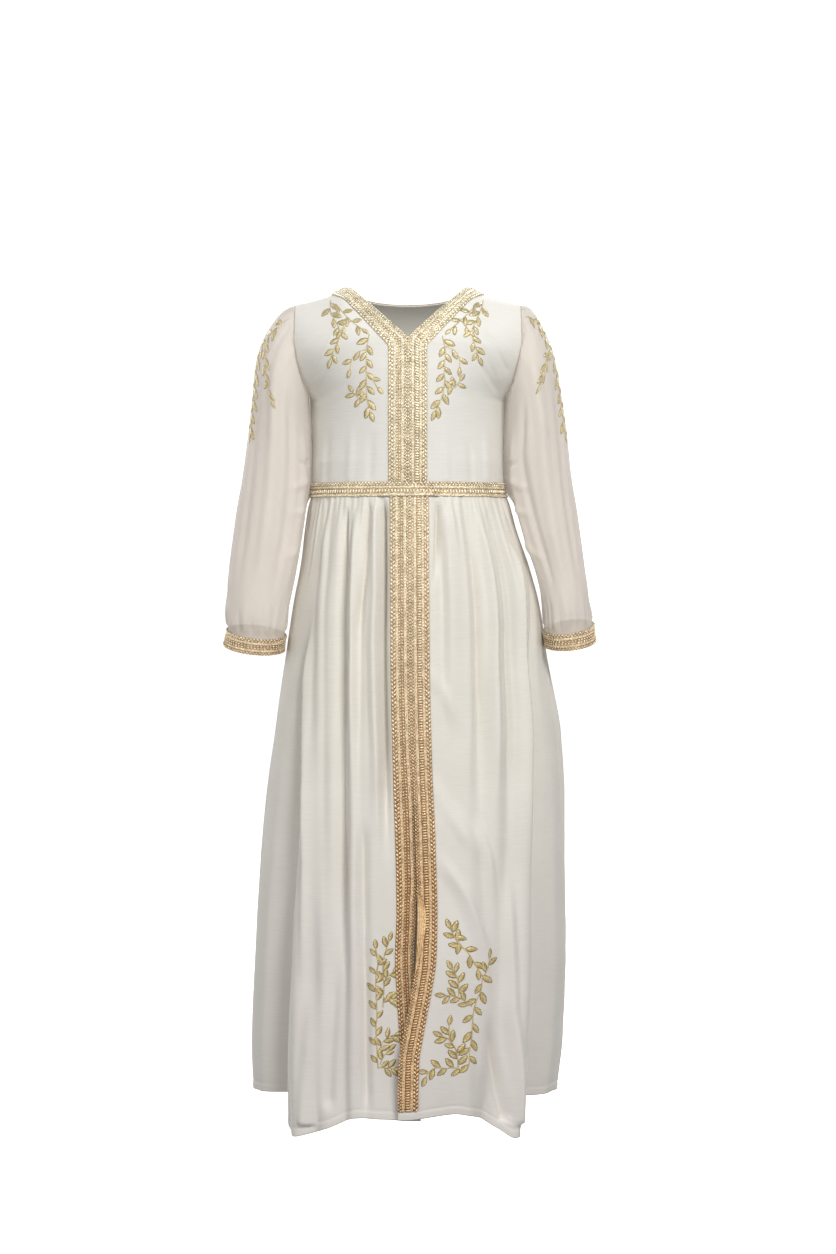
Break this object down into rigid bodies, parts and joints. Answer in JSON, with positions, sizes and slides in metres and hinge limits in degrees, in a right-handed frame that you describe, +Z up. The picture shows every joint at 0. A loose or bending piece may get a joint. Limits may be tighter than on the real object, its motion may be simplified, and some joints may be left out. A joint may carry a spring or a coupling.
{
  "type": "child's abaya, worn shape",
  "caption": "Long-sleeved child's abaya with a V neck, gold braid down the open front, a braid belt and braid cuffs, in its hollow worn shape.",
  "frame": {"origin": "midway between the two neck ends of the shoulder seams, where the shoulders hold the garment", "axes": "+Z up, the front faces -Y, the wearer's left is +X"},
  "size_m": [0.4198, 0.2743, 0.9283],
  "materials": {
    "bodice": "lined white crepe, matt with a soft sheen",
    "skirt": "white crepe, matt with a soft sheen",
    "sleeve": "sheer white chiffon",
    "braid": "gold metallic thread braid",
    "embroidery": "olive gold embroidery thread"
  },
  "bodies": {
    "root": {"bodice_front_right": "bodice", "bodice_front_left": "bodice", "bodice_back": "bodice", "skirt_front_right": "skirt", "skirt_front_left": "skirt", "skirt_back": "skirt", "sleeve_right": "sleeve", "sleeve_left": "sleeve", "braid_neck_right": "braid", "braid_neck_left": "braid", "braid_skirt_right": "braid", "braid_skirt_left": "braid", "braid_cuff_right": "braid", "braid_cuff_left": "braid", "belt": "braid"}
  },
  "joints": []
}
